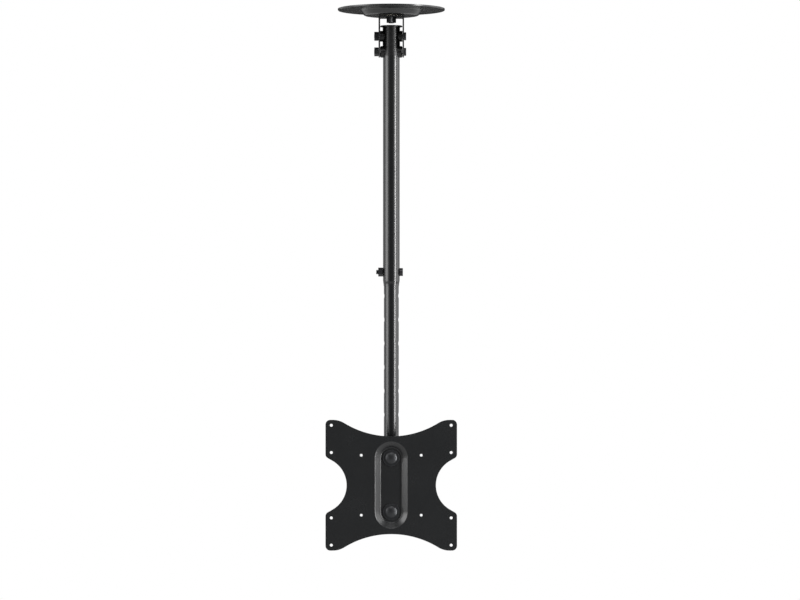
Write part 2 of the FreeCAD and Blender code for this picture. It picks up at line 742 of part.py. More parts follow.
os.makedirs("parts", exist_ok=True)
for name, shape in nodes.items():
    shape.exportStep("parts/" + name + ".step")
    print(name, len(shape.Solids), "solids,", round(shape.Volume), "mm3, valid", shape.isValid())
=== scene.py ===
"""Looks of a telescopic ceiling mount for a flat screen: finishes, threaded fasteners and a studio."""

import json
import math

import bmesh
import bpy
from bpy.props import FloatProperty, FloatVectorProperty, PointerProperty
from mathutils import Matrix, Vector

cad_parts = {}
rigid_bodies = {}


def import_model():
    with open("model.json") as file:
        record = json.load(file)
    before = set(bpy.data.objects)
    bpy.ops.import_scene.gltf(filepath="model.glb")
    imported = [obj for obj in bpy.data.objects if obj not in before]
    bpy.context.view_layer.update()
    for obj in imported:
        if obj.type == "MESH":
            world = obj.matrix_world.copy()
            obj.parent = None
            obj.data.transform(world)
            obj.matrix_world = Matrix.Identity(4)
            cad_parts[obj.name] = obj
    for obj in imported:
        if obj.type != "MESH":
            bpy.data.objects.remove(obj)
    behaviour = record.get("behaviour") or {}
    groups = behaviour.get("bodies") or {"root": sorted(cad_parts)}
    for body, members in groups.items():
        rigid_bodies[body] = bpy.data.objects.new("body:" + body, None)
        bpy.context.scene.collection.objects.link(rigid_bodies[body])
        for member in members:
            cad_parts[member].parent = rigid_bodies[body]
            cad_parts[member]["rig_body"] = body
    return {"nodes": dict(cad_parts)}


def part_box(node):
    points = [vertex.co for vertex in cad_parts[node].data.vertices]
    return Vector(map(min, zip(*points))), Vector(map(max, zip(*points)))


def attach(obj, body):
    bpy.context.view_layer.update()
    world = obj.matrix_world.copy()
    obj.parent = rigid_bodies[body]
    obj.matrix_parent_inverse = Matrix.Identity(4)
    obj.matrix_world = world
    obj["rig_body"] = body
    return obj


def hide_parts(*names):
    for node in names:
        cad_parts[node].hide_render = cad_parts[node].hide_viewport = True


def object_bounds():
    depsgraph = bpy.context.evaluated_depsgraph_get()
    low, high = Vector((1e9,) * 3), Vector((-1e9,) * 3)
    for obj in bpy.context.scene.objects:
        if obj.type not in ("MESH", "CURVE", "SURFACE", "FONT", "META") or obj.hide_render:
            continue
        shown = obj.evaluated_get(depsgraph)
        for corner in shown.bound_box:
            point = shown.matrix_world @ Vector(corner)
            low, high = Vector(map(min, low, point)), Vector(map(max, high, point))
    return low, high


bl_info = {
    "name": "Ceiling mount looks",
    "version": (1, 0, 0),
    "blender": (4, 5, 0),
    "location": "View3D > Sidebar > Ceiling mount",
    "description": "Finishes, threaded fasteners and a studio for a telescopic screen mount",
    "category": "Object",
}

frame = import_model()
cad_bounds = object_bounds()

MM = 0.001

# Indices of refraction of the finishes
POLYESTER_IOR = 1.5
ENAMEL_IOR = 1.4
NYLON_IOR = 1.53

# How far red, green and blue light travel under the skin of nylon
NYLON_SCATTER = (MM, MM, 0.8 * MM)

# Nearly all values of a noise texture lie between these two
NOISE_LOW = 0.3
NOISE_HIGH = 0.7

# Steps of one turn in a spun piece, and the angle from which its edges stay sharp
STEPS = 72
SHARP_ANGLE = math.radians(32)

# Points closer than the first are joined. A detailed piece fills its node's box to within the second
WELD = 0.001 * MM
BOX_TOLERANCE = 0.1 * MM

# Depth of a metric thread as a share of its pitch, and the bevel at the seat of a round head
THREAD_DEPTH = 0.61
SEAT_BEVEL = 0.2 * MM

# Turns the corners of a hexagon from the X axis to the Y axis
QUARTER_TURN = Matrix.Rotation(math.pi / 2, 4, "Z")

# Nodes that keep their own solid and get a finish, by the finish that they share
PRESSED_SHEET = ("ceiling_plate", "hanger_bracket", "tilt_bracket", "screen_plate")
TUBES = ("outer_tube", "inner_tube")
CASTING = ("pole_head",)
BLACK_WASHERS = ("dome_washers", "back_washers")
BRIGHT_WASHERS = ("swivel_head_washer",)
BLACK_MOULDINGS = ("tube_end_plug", "saddle_spacers")
NATURAL_MOULDINGS = ("friction_washer", "slide_bush")

# Nodes that a threaded fastener stands for. Each bolt is named as its nut is
SOCKET_BOLTS = ("lean_pivot_bolt", "lean_lock_bolt", "height_bolt", "tilt_pivot_bolt", "tilt_lock_bolt")


def linear(colour):
    """Linear red, green and blue of an sRGB hex colour."""
    channels = [int(colour[place:place + 2], 16) / 255 for place in (1, 3, 5)]
    return [c / 12.92 if c <= 0.04045 else ((c + 0.055) / 1.055) ** 2.4 for c in channels]


class MountCoats(bpy.types.PropertyGroup):
    """Colours and grain of the coated pieces."""

    sheet_colour: FloatVectorProperty(
        name="Sheet coat", description="Colour of the powder coat on the sheet pieces",
        subtype="COLOR", min=0, max=1, default=linear("#18191a"))
    tube_colour: FloatVectorProperty(
        name="Tube coat", description="Colour of the powder coat on the tubes",
        subtype="COLOR", min=0, max=1, default=linear("#111213"))
    enamel_colour: FloatVectorProperty(
        name="Enamel", description="Colour of the stoving enamel on the cast pole head",
        subtype="COLOR", min=0, max=1, default=linear("#0b0b0c"))
    sheet_rough: FloatProperty(
        name="Sheet roughness", description="Roughness of the powder coat on the sheet pieces",
        subtype="FACTOR", min=0, max=1, default=0.26)
    tube_rough: FloatProperty(
        name="Tube roughness", description="Roughness of the powder coat on the tubes",
        subtype="FACTOR", min=0, max=1, default=0.22)
    coat_spread: FloatProperty(
        name="Coat spread", description="How far the powder coat's roughness differs, up and down",
        subtype="FACTOR", min=0, max=1, default=0.02)
    enamel_rough: FloatProperty(
        name="Enamel roughness", description="Roughness of the stoving enamel",
        subtype="FACTOR", min=0, max=1, default=0.37)
    enamel_spread: FloatProperty(
        name="Enamel spread", description="How far the enamel's roughness differs, up and down",
        subtype="FACTOR", min=0, max=1, default=0.03)
    peel_size: FloatProperty(
        name="Orange peel", description="Width of one ripple of the powder coat",
        unit="LENGTH", default=3 * MM)
    peel_depth: FloatProperty(
        name="Orange peel depth",
        description="Height of those ripples on the tubes. Those on sheet are twice as high",
        unit="LENGTH", default=0.0015 * MM)
    grain_size: FloatProperty(
        name="Powder grain", description="Width of the fine grain in the powder coat",
        unit="LENGTH", default=0.6 * MM)
    cloud_size: FloatProperty(
        name="Coat clouds", description="Width of the areas in which the coat's gloss differs",
        unit="LENGTH", default=45 * MM)
    cast_grain: FloatProperty(
        name="Cast grain", description="Width of the waves that the mould leaves under the enamel",
        unit="LENGTH", default=4 * MM)
    edge_radius: FloatProperty(
        name="Edge round", description="Radius that deburring and the coat give to a cut edge",
        unit="LENGTH", default=0.2 * MM)


class MountFasteners(bpy.types.PropertyGroup):
    """Sizes and colours of the bolts, nuts and washers."""

    cross_d: FloatProperty(
        name="Cross bolt diameter", description="Thread diameter of the cross, height and plate bolts",
        unit="LENGTH", default=8 * MM)
    cross_pitch: FloatProperty(
        name="Cross bolt pitch", description="Distance between two turns of their thread",
        unit="LENGTH", default=1.25 * MM)
    cross_thread: FloatProperty(
        name="Cross bolt thread", description="Length of their thread from the tip",
        unit="LENGTH", default=22 * MM)
    swivel_d: FloatProperty(
        name="Swivel bolt diameter", description="Thread diameter of the swivel bolt",
        unit="LENGTH", default=10 * MM)
    swivel_pitch: FloatProperty(
        name="Swivel bolt pitch", description="Distance between two turns of its thread",
        unit="LENGTH", default=1.5 * MM)
    swivel_thread: FloatProperty(
        name="Swivel bolt thread", description="Length of its thread from the tip",
        unit="LENGTH", default=11 * MM)
    head_bevel: FloatProperty(
        name="Head bevel", description="Bevel round the low heads of the cross and height bolts",
        unit="LENGTH", default=0.4 * MM)
    socket_flats: FloatProperty(
        name="Socket width", description="Width across the flats of the hex sockets in them",
        unit="LENGTH", default=5 * MM)
    socket_depth: FloatProperty(
        name="Socket depth", description="Depth of those hex sockets",
        unit="LENGTH", default=2 * MM)
    corner_bevel: FloatProperty(
        name="Corner bevel", description="Height that is turned off the corners of a hexagon",
        unit="LENGTH", default=0.4 * MM)
    punch_depth: FloatProperty(
        name="Punch depth", description="Depth of the three punch marks that make a nut lock",
        unit="LENGTH", default=0.35 * MM)
    swivel_head_h: FloatProperty(
        name="Swivel head height", description="Height of the swivel bolt's head",
        unit="LENGTH", default=6.3 * MM)
    dome_h: FloatProperty(
        name="Dome height", description="Height of the plate bolts' domed heads",
        unit="LENGTH", default=4.4 * MM)
    black_plating: FloatVectorProperty(
        name="Black zinc", description="Colour of the black zinc plating",
        subtype="COLOR", min=0, max=1, default=linear("#2b2c2e"))
    bright_plating: FloatVectorProperty(
        name="Bright zinc", description="Colour of the bright zinc plating",
        subtype="COLOR", min=0, max=1, default=linear("#c3c6c9"))
    black_metal: FloatProperty(
        name="Black zinc metal", description="Share of metal in what the black zinc reflects",
        subtype="FACTOR", min=0, max=1, default=0.6)
    black_rough: FloatProperty(
        name="Black zinc roughness", description="Roughness of the black zinc plating",
        subtype="FACTOR", min=0, max=1, default=0.36)
    bright_rough: FloatProperty(
        name="Bright zinc roughness", description="Roughness of the bright zinc plating",
        subtype="FACTOR", min=0, max=1, default=0.3)
    zinc_spread: FloatProperty(
        name="Zinc spread", description="How far the roughness of both platings differs, up and down",
        subtype="FACTOR", min=0, max=1, default=0.06)
    black_cloud: FloatProperty(
        name="Black zinc clouds", description="Width of the clouds in the black zinc",
        unit="LENGTH", default=3 * MM)
    bright_cloud: FloatProperty(
        name="Bright zinc clouds", description="Width of the clouds in the bright zinc",
        unit="LENGTH", default=2.5 * MM)
    pit_depth: FloatProperty(
        name="Zinc pits", description="Depth of the pits that cold heading leaves under the black zinc",
        unit="LENGTH", default=0.004 * MM)
    tumbled_radius: FloatProperty(
        name="Tumbled edge", description="Radius that tumbling gives to the edges of a fastener",
        unit="LENGTH", default=0.15 * MM)


class MountMouldings(bpy.types.PropertyGroup):
    """Colours and grain of the moulded nylon pieces."""

    black_nylon: FloatVectorProperty(
        name="Black nylon", description="Colour of the end plug and the spacers",
        subtype="COLOR", min=0, max=1, default=linear("#1d1d1e"))
    natural_nylon: FloatVectorProperty(
        name="Natural nylon", description="Colour of the friction washer and the slide bush",
        subtype="COLOR", min=0, max=1, default=linear("#e2ddcb"))
    spark_grain: FloatProperty(
        name="Spark grain", description="Width of the grain that a spark-eroded mould leaves",
        unit="LENGTH", default=0.5 * MM)
    spark_depth: FloatProperty(
        name="Spark grain depth", description="Height of that grain",
        unit="LENGTH", default=0.01 * MM)
    nylon_rough: FloatProperty(
        name="Nylon roughness", description="Roughness of the moulded skin",
        subtype="FACTOR", min=0, max=1, default=0.47)
    nylon_spread: FloatProperty(
        name="Nylon spread", description="How far the skin's roughness differs, up and down",
        subtype="FACTOR", min=0, max=1, default=0.05)
    mould_radius: FloatProperty(
        name="Mould edge", description="Radius of the edges of a moulding",
        unit="LENGTH", default=0.3 * MM)
    under_skin: FloatProperty(
        name="Light under the skin", description="Share of the light that enters the natural nylon",
        subtype="FACTOR", min=0, max=1, default=0.2)


class MountStudio(bpy.types.PropertyGroup):
    """Camera, floor and lamps."""

    camera_place: FloatVectorProperty(
        name="Camera", description="Place of the camera, level with the middle of the pole",
        subtype="TRANSLATION", unit="LENGTH", default=(0.0146, -5.085, -0.49))
    camera_lens: FloatProperty(
        name="Lens", description="Focal length of the camera, in millimetres on a 36 mm frame",
        subtype="DISTANCE_CAMERA", default=136)
    ceiling_height: FloatProperty(
        name="Ceiling height", description="Height of the ceiling above the floor",
        unit="LENGTH", default=2.4)
    floor_size: FloatProperty(
        name="Floor size", description="Width of the floor",
        unit="LENGTH", default=14)
    floor_colour: FloatVectorProperty(
        name="Floor", description="Colour of the floor",
        subtype="COLOR", min=0, max=1, default=linear("#ededeb"))
    floor_white: FloatProperty(
        name="Floor white", description="Share of white in the floor that the camera and finishes see",
        subtype="FACTOR", min=0, max=1, default=0.93)
    front_level: FloatProperty(
        name="Room in front", description="Brightness of the room behind the camera, where 1 is white",
        subtype="FACTOR", min=0, max=1, default=0.13)
    back_level: FloatProperty(
        name="Room behind", description="Brightness of the room straight behind the mount",
        subtype="FACTOR", min=0, max=1, default=0.02)
    left_level: FloatProperty(
        name="Left soft box", description="Brightness of the left soft box, where 1 is white",
        subtype="UNSIGNED", min=0, default=4.5)
    strip_level: FloatProperty(
        name="Right strip lamp", description="Brightness of the right strip lamp, where 1 is white",
        subtype="UNSIGNED", min=0, default=24)
    right_level: FloatProperty(
        name="Right soft box", description="Brightness of the right soft box, where 1 is white",
        subtype="UNSIGNED", min=0, default=2.1)
    top_level: FloatProperty(
        name="Top soft box", description="Brightness of the top soft box, where 1 is white",
        subtype="UNSIGNED", min=0, default=3)


def add_node(tree, kind, inputs=None, **settings):
    """Adds a node with its settings. An input is a value, or the output that feeds it."""
    node = tree.nodes.new(kind)
    for name, value in settings.items():
        setattr(node, name, value)
    for name, value in (inputs or {}).items():
        if isinstance(value, bpy.types.NodeSocket):
            tree.links.new(value, node.inputs[name])
        else:
            node.inputs[name].default_value = value
    return node


def empty_tree(holder):
    """Node tree of a new material or world, without the nodes that it starts with."""
    holder.use_nodes = True
    holder.node_tree.nodes.clear()
    return holder.node_tree


def new_material(name, shader_inputs):
    """Material with one Principled shader. shader_inputs(tree, place) gives the shader's inputs."""
    material = bpy.data.materials.new(name)
    tree = empty_tree(material)
    place = add_node(tree, "ShaderNodeTexCoord").outputs["Object"]
    shader = add_node(tree, "ShaderNodeBsdfPrincipled", shader_inputs(tree, place))
    add_node(tree, "ShaderNodeOutputMaterial", {"Surface": shader.outputs["BSDF"]})
    return material


def with_alpha(colour):
    """A colour property as the four numbers of a colour input."""
    return (*colour, 1.0)


def noise(tree, place, width, detail):
    """Noise pattern whose features are about width wide."""
    return add_node(tree, "ShaderNodeTexNoise", {
        "Vector": place, "Scale": 1 / width, "Detail": detail}).outputs["Fac"]


def uneven(tree, pattern, rough, spread):
    """Roughness that follows a noise pattern, by spread up and down from rough."""
    return add_node(tree, "ShaderNodeMapRange", {
        "Value": pattern, "From Min": NOISE_LOW, "From Max": NOISE_HIGH,
        "To Min": rough - spread, "To Max": rough + spread}).outputs["Result"]


def rounded(tree, radius, samples=4):
    """Normal that shows cut edges with this radius."""
    return add_node(tree, "ShaderNodeBevel", {"Radius": radius}, samples=samples).outputs["Normal"]


def embossed(tree, pattern, height, normal):
    """Normal of a skin on which a noise pattern stands up by height."""
    return add_node(tree, "ShaderNodeBump", {
        "Height": pattern, "Distance": height, "Normal": normal}).outputs["Normal"]


def powder_coat(coats, name, colour, depth, rough):
    """Black polyester powder coat, sprayed dry and cured in an oven.

    It looks black and half glossy. Ripples of this depth and a fine grain half as deep soften its
    reflections, the gloss differs a little from place to place, and each cut edge is round enough to catch
    a thin light.
    """
    def inputs(tree, place):
        clouds = noise(tree, place, coats.cloud_size, detail=3.0)
        peel = noise(tree, place, coats.peel_size, detail=1.0)
        grain = noise(tree, place, coats.grain_size, detail=1.0)
        edge = rounded(tree, coats.edge_radius, samples=8)
        rippled = embossed(tree, peel, depth, edge)
        return {"Base Color": with_alpha(colour), "IOR": POLYESTER_IOR,
                "Roughness": uneven(tree, clouds, rough, coats.coat_spread),
                "Normal": embossed(tree, grain, depth / 2, rippled)}

    return new_material(name, inputs)


def stoved_enamel(coats):
    """Black stoving enamel on a gravity-die casting.

    It looks deep black with soft lights, which long low waves of the cast skin bend a little. Its edges
    are twice as round as those of cut metal.
    """
    def inputs(tree, place):
        waves = noise(tree, place, coats.cast_grain, detail=2.0)
        edge = rounded(tree, 2 * coats.edge_radius, samples=6)
        return {"Base Color": with_alpha(coats.enamel_colour), "IOR": ENAMEL_IOR,
                "Roughness": uneven(tree, waves, coats.enamel_rough, coats.enamel_spread),
                "Normal": embossed(tree, waves, coats.peel_depth, edge)}

    return new_material("black stoving enamel on die casting", inputs)


def black_zinc(fasteners):
    """Black-passivated zinc plating on cold-headed steel.

    It looks nearly black with a dull metallic gloss, cloudier than paint.
    """
    def inputs(tree, place):
        clouds = noise(tree, place, fasteners.black_cloud, detail=4.0)
        edge = rounded(tree, fasteners.tumbled_radius)
        return {"Base Color": with_alpha(fasteners.black_plating), "Metallic": fasteners.black_metal,
                "Roughness": uneven(tree, clouds, fasteners.black_rough, fasteners.zinc_spread),
                "Normal": embossed(tree, clouds, fasteners.pit_depth, edge)}

    return new_material("black passivated zinc plating", inputs)


def bright_zinc(fasteners):
    """Clear-passivated zinc plating on cold-headed steel.

    It looks silvery with a soft, slightly cloudy shine.
    """
    def inputs(tree, place):
        clouds = noise(tree, place, fasteners.bright_cloud, detail=4.0)
        return {"Base Color": with_alpha(fasteners.bright_plating), "Metallic": 1.0,
                "Roughness": uneven(tree, clouds, fasteners.bright_rough, fasteners.zinc_spread),
                "Normal": rounded(tree, fasteners.tumbled_radius)}

    return new_material("bright zinc plating", inputs)


def moulded_nylon(mouldings, name, colour, under_skin):
    """Injection-moulded nylon 6 with a fine spark-eroded grain.

    It looks satin and even, and in its natural colour a little light passes under its skin.
    """
    def inputs(tree, place):
        grain = noise(tree, place, mouldings.spark_grain, detail=2.0)
        edge = rounded(tree, mouldings.mould_radius)
        return {"Base Color": with_alpha(colour), "IOR": NYLON_IOR,
                "Roughness": uneven(tree, grain, mouldings.nylon_rough, mouldings.nylon_spread),
                "Subsurface Weight": under_skin, "Subsurface Radius": NYLON_SCATTER,
                "Normal": embossed(tree, grain, mouldings.spark_depth, edge)}

    return new_material(name, inputs)


def coat(nodes, material):
    """Gives CAD nodes their finish."""
    for name in nodes:
        for holder in frame["nodes"][name].material_slots:
            holder.material = material


def value_at(value, angle):
    """A row's radius or height at an angle. It is a number or a function of the angle."""
    return value(angle) if callable(value) else value


def spin(mesh, rows, place, ring=False):
    """Adds a piece whose rows of (radius, height) go round Z, then moves it by place.

    The ends are closed flat, or a ring joins its last row to its first.
    """
    loops = []
    for radius, height in rows:
        loop = []
        for step in range(STEPS):
            angle = 2 * math.pi * step / STEPS
            reach = value_at(radius, angle)
            point = Vector((reach * math.cos(angle), reach * math.sin(angle), value_at(height, angle)))
            loop.append(mesh.verts.new(place @ point))
        loops.append(loop)
    for lower, upper in zip(loops, loops[1:] + loops[:1] if ring else loops[1:]):
        for step in range(STEPS):
            ahead = (step + 1) % STEPS
            mesh.faces.new((lower[step], lower[ahead], upper[ahead], upper[step]))
    if not ring:
        mesh.faces.new(list(reversed(loops[0])))
        mesh.faces.new(loops[-1])


def stand_in(node, build, material):
    """Builds the detailed piece that stands for a CAD node, in the node's place and box."""
    shape = bmesh.new()
    build(shape)
    bmesh.ops.remove_doubles(shape, verts=shape.verts[:], dist=WELD)
    bmesh.ops.recalc_face_normals(shape, faces=shape.faces[:])
    mesh = bpy.data.meshes.new(node + "_detailed")
    shape.to_mesh(mesh)
    shape.free()
    mesh.shade_smooth()
    mesh.set_sharp_from_angle(angle=SHARP_ANGLE)
    mesh.materials.append(material)
    piece = bpy.data.objects.new(node + "_detailed", mesh)
    bpy.context.scene.collection.objects.link(piece)
    for axis in range(3):
        made = [vertex.co[axis] for vertex in mesh.vertices]
        low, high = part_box(node)
        if max(abs(min(made) - low[axis]), abs(max(made) - high[axis])) > BOX_TOLERANCE:
            raise RuntimeError(f"{node}: the detailed piece doesn't fill the node's box on axis {axis}")
    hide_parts(node)
    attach(piece, frame["nodes"][node]["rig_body"])


def laid(axis, point):
    """Place of a piece that is built on Z, so that its Z points along axis from point."""
    turn = Vector((0, 0, 1)).rotation_difference(Vector(axis)).to_matrix().to_4x4()
    return Matrix.Translation(point) @ turn


def hexagon(flats):
    """Radius of a hexagon round its centre, with a corner at angle 0."""
    return lambda angle: flats / 2 / math.cos(angle % (math.pi / 3) - math.pi / 6)


def hexagon_rows(flats, low, high, bevel):
    """Rows up the sides of a hexagon, whose corners are turned off by the bevel at both ends."""
    slope = math.tan(math.radians(30))
    radius = hexagon(flats)
    face_r = radius(0) - bevel / slope

    def face(angle):
        return min(radius(angle), face_r)

    def drop(angle):
        return (radius(angle) - face(angle)) * slope

    return [(face, low), (radius, lambda angle: low + drop(angle)),
            (radius, lambda angle: high - drop(angle)), (face, high)]


def thread_rows(diameter, pitch, low, high):
    """Rows of a rolled thread, from its bevelled tip at low to its run-out at high."""
    depth = THREAD_DEPTH * pitch
    root_flat = 0.25
    crest_flat = 0.125
    rows_per_turn = 8

    def at(height):
        def radius(angle):
            turn = (height / pitch - angle / (2 * math.pi)) % 1
            ridge = (abs(2 * turn - 1) - root_flat) / (1 - root_flat - crest_flat)
            cut = depth * (1 - min(max(ridge, 0), 1)) * min(1, (high - height) / pitch)
            bevelled = diameter / 2 - depth + height - low
            return min(diameter / 2 - cut, bevelled)
        return radius, height

    count = math.ceil((high - low) / pitch * rows_per_turn)
    return [at(low + (high - low) * index / count) for index in range(count + 1)]


def dome_rows(diameter, height):
    """Rows down a low domed head, from the small flat on its crown to its straight edge at the seat."""
    rise = 0.6 * height
    half = diameter / 2
    dome_r = (half ** 2 + rise ** 2) / (2 * rise)
    flat_r = 0.4 * MM
    count = 12
    rows = []
    for index in range(count + 1):
        radius = flat_r + (half - flat_r) * index / count
        rows.append((radius, height - dome_r + math.sqrt(dome_r ** 2 - radius ** 2)))
    return rows + [(half, SEAT_BEVEL), (half - SEAT_BEVEL, 0)]


def socket_head_rows(fasteners, diameter, height):
    """Rows of a low round head, from the drilled floor of its hex socket to its seat."""
    floor = height - fasteners.socket_depth
    socket = hexagon(fasteners.socket_flats)
    drill_r = fasteners.socket_flats / 2 - 0.2 * MM
    drill_depth = 0.8 * MM
    drill_tip_r = 0.1 * MM
    lip = 0.2 * MM
    half = diameter / 2
    bevel = fasteners.head_bevel
    return [(drill_tip_r, floor - drill_depth), (drill_r, floor), (socket, floor), (socket, height - lip),
            (lambda angle: socket(angle) + lip, height), (half - bevel, height),
            (half, height - bevel), (half, SEAT_BEVEL), (half - SEAT_BEVEL, 0)]


def hex_head_rows(fasteners, flats, height):
    """Rows of a hexagon head from its top to its washer face."""
    washer_r = 0.46 * flats
    washer_t = 0.35 * MM
    rows = hexagon_rows(flats, washer_t, height, 2 * fasteners.corner_bevel)
    return list(reversed(rows)) + [(washer_r, washer_t), (washer_r, 0)]


def bolt_rows(head, diameter, pitch, length, thread):
    """Rows of a bolt, from the top of its head down to its tip. The head's seat is at height 0."""
    start = thread - length
    return head + [(diameter / 2, 0)] + list(reversed(thread_rows(diameter, pitch, -length, start)))


def lock_nut_rows(fasteners, flats, height, bore_d):
    """Rows round the section of an all-metal lock nut, whose far face has three punch marks."""
    play = 0.05 * MM
    bore_r = bore_d / 2 + play
    lead = 0.5 * MM
    marks = 3
    mark_r = (bore_r + flats / 2) / 2
    mark_half = 0.7 * MM
    mark_sharpness = 6

    def marked(angle):
        return height - fasteners.punch_depth * max(0, math.cos(marks * angle)) ** mark_sharpness

    return [(bore_r + lead, 0)] + hexagon_rows(flats, 0, height, fasteners.corner_bevel) + [
        (mark_r + mark_half, height), (mark_r, marked), (mark_r - mark_half, height),
        (bore_r + lead, height), (bore_r, height - lead), (bore_r, lead)]


class CEILING_MOUNT_OT_coat_sheet(bpy.types.Operator):
    """Powder coat on the pressed and folded sheet pieces"""

    bl_idname = "ceiling_mount.coat_sheet"
    bl_label = "Coat the sheet pieces"

    def execute(self, context):
        coats = context.scene.mount_coats
        coat(PRESSED_SHEET, powder_coat(coats, "black powder coat on pressed steel",
                                        coats.sheet_colour, 2 * coats.peel_depth, coats.sheet_rough))
        return {"FINISHED"}


class CEILING_MOUNT_OT_coat_tubes(bpy.types.Operator):
    """Powder coat on the two drawn tubes"""

    bl_idname = "ceiling_mount.coat_tubes"
    bl_label = "Coat the tubes"

    def execute(self, context):
        coats = context.scene.mount_coats
        coat(TUBES, powder_coat(coats, "black powder coat on drawn tube",
                                coats.tube_colour, coats.peel_depth, coats.tube_rough))
        return {"FINISHED"}


class CEILING_MOUNT_OT_enamel_head(bpy.types.Operator):
    """Stoving enamel on the cast pole head"""

    bl_idname = "ceiling_mount.enamel_head"
    bl_label = "Enamel the pole head"

    def execute(self, context):
        coat(CASTING, stoved_enamel(context.scene.mount_coats))
        return {"FINISHED"}


class CEILING_MOUNT_OT_plate_washers(bpy.types.Operator):
    """Zinc plating on the steel washers"""

    bl_idname = "ceiling_mount.plate_washers"
    bl_label = "Plate the washers"

    def execute(self, context):
        fasteners = context.scene.mount_fasteners
        coat(BLACK_WASHERS, black_zinc(fasteners))
        coat(BRIGHT_WASHERS, bright_zinc(fasteners))
        return {"FINISHED"}


class CEILING_MOUNT_OT_mould_nylon(bpy.types.Operator):
    """Moulded skin on the nylon pieces"""

    bl_idname = "ceiling_mount.mould_nylon"
    bl_label = "Finish the nylon pieces"

    def execute(self, context):
        mouldings = context.scene.mount_mouldings
        coat(BLACK_MOULDINGS, moulded_nylon(mouldings, "black moulded nylon", mouldings.black_nylon, 0.0))
        coat(NATURAL_MOULDINGS, moulded_nylon(mouldings, "natural moulded nylon",
                                              mouldings.natural_nylon, mouldings.under_skin))
        return {"FINISHED"}


class CEILING_MOUNT_OT_socket_bolts(bpy.types.Operator):
    """Low-headed bolts with hex sockets and rolled threads, in place of the plain cross and height bolts"""

    bl_idname = "ceiling_mount.socket_bolts"
    bl_label = "Make the cross and height bolts"

    def execute(self, context):
        fasteners = context.scene.mount_fasteners
        finish = black_zinc(fasteners)
        for node in SOCKET_BOLTS:
            low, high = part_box(node)
            nut_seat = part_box(node.replace("bolt", "nut"))[1].x
            seat = Vector((-nut_seat, 0, (low.z + high.z) / 2))
            head = socket_head_rows(fasteners, high.y - low.y, high.x - seat.x)
            rows = bolt_rows(head, fasteners.cross_d, fasteners.cross_pitch, seat.x - low.x,
                             fasteners.cross_thread)
            stand_in(node, lambda mesh: spin(mesh, rows, laid((1, 0, 0), seat)), finish)
        return {"FINISHED"}


class CEILING_MOUNT_OT_swivel_bolt(bpy.types.Operator):
    """Hexagon bolt with a rolled thread, head up in the hub, in place of the plain swivel bolt"""

    bl_idname = "ceiling_mount.swivel_bolt"
    bl_label = "Make the swivel bolt"

    def execute(self, context):
        fasteners = context.scene.mount_fasteners
        low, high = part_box("swivel_bolt")
        seat = Vector((0, 0, high.z - fasteners.swivel_head_h))
        head = hex_head_rows(fasteners, high.x - low.x, fasteners.swivel_head_h)
        rows = bolt_rows(head, fasteners.swivel_d, fasteners.swivel_pitch, seat.z - low.z,
                         fasteners.swivel_thread)
        place = Matrix.Translation(seat) @ QUARTER_TURN
        stand_in("swivel_bolt", lambda mesh: spin(mesh, rows, place), bright_zinc(fasteners))
        return {"FINISHED"}


def plate_bolt_centres():
    """Heights of the two plate bolts, at the centres of their round heads."""
    low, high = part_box("plate_bolts")
    radius = (high.x - low.x) / 2
    return low.z + radius, high.z - radius


class CEILING_MOUNT_OT_plate_bolts(bpy.types.Operator):
    """Dome-headed bolts with rolled threads, in place of the plain bolts in the pocket"""

    bl_idname = "ceiling_mount.plate_bolts"
    bl_label = "Make the plate bolts"

    def execute(self, context):
        fasteners = context.scene.mount_fasteners
        low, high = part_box("plate_bolts")
        seat_y = low.y + fasteners.dome_h
        plain_shank = 3 * MM
        head = dome_rows(high.x - low.x, fasteners.dome_h)
        rows = bolt_rows(head, fasteners.cross_d, fasteners.cross_pitch, high.y - seat_y,
                         high.y - seat_y - plain_shank)

        def build(mesh):
            for z in plate_bolt_centres():
                spin(mesh, rows, laid((0, -1, 0), Vector((0, seat_y, z))))

        stand_in("plate_bolts", build, black_zinc(fasteners))
        return {"FINISHED"}


class CEILING_MOUNT_OT_lock_nuts(bpy.types.Operator):
    """Bevelled all-metal lock nuts with their bores and punch marks, in place of the plain nuts"""

    bl_idname = "ceiling_mount.lock_nuts"
    bl_label = "Make the lock nuts"

    def execute(self, context):
        fasteners = context.scene.mount_fasteners
        finish = black_zinc(fasteners)
        for bolt in SOCKET_BOLTS:
            node = bolt.replace("bolt", "nut")
            low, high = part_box(node)
            seat = Vector((high.x, 0, (low.z + high.z) / 2))
            rows = lock_nut_rows(fasteners, high.y - low.y, high.x - low.x, fasteners.cross_d)
            stand_in(node, lambda mesh: spin(mesh, rows, laid((-1, 0, 0), seat), True), finish)

        low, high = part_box("swivel_nut")
        rows = lock_nut_rows(fasteners, high.x - low.x, high.z - low.z, fasteners.swivel_d)
        under = Matrix.Translation((0, 0, high.z)) @ Matrix.Rotation(math.pi, 4, "X") @ QUARTER_TURN
        stand_in("swivel_nut", lambda mesh: spin(mesh, rows, under, True), finish)

        low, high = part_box("plate_nuts")
        flats = (high.x - low.x) * math.sqrt(3) / 2
        rows = lock_nut_rows(fasteners, flats, high.y - low.y, fasteners.cross_d)

        def build(mesh):
            for z in plate_bolt_centres():
                spin(mesh, rows, laid((0, 1, 0), Vector((0, low.y, z))), True)

        stand_in("plate_nuts", build, finish)
        return {"FINISHED"}


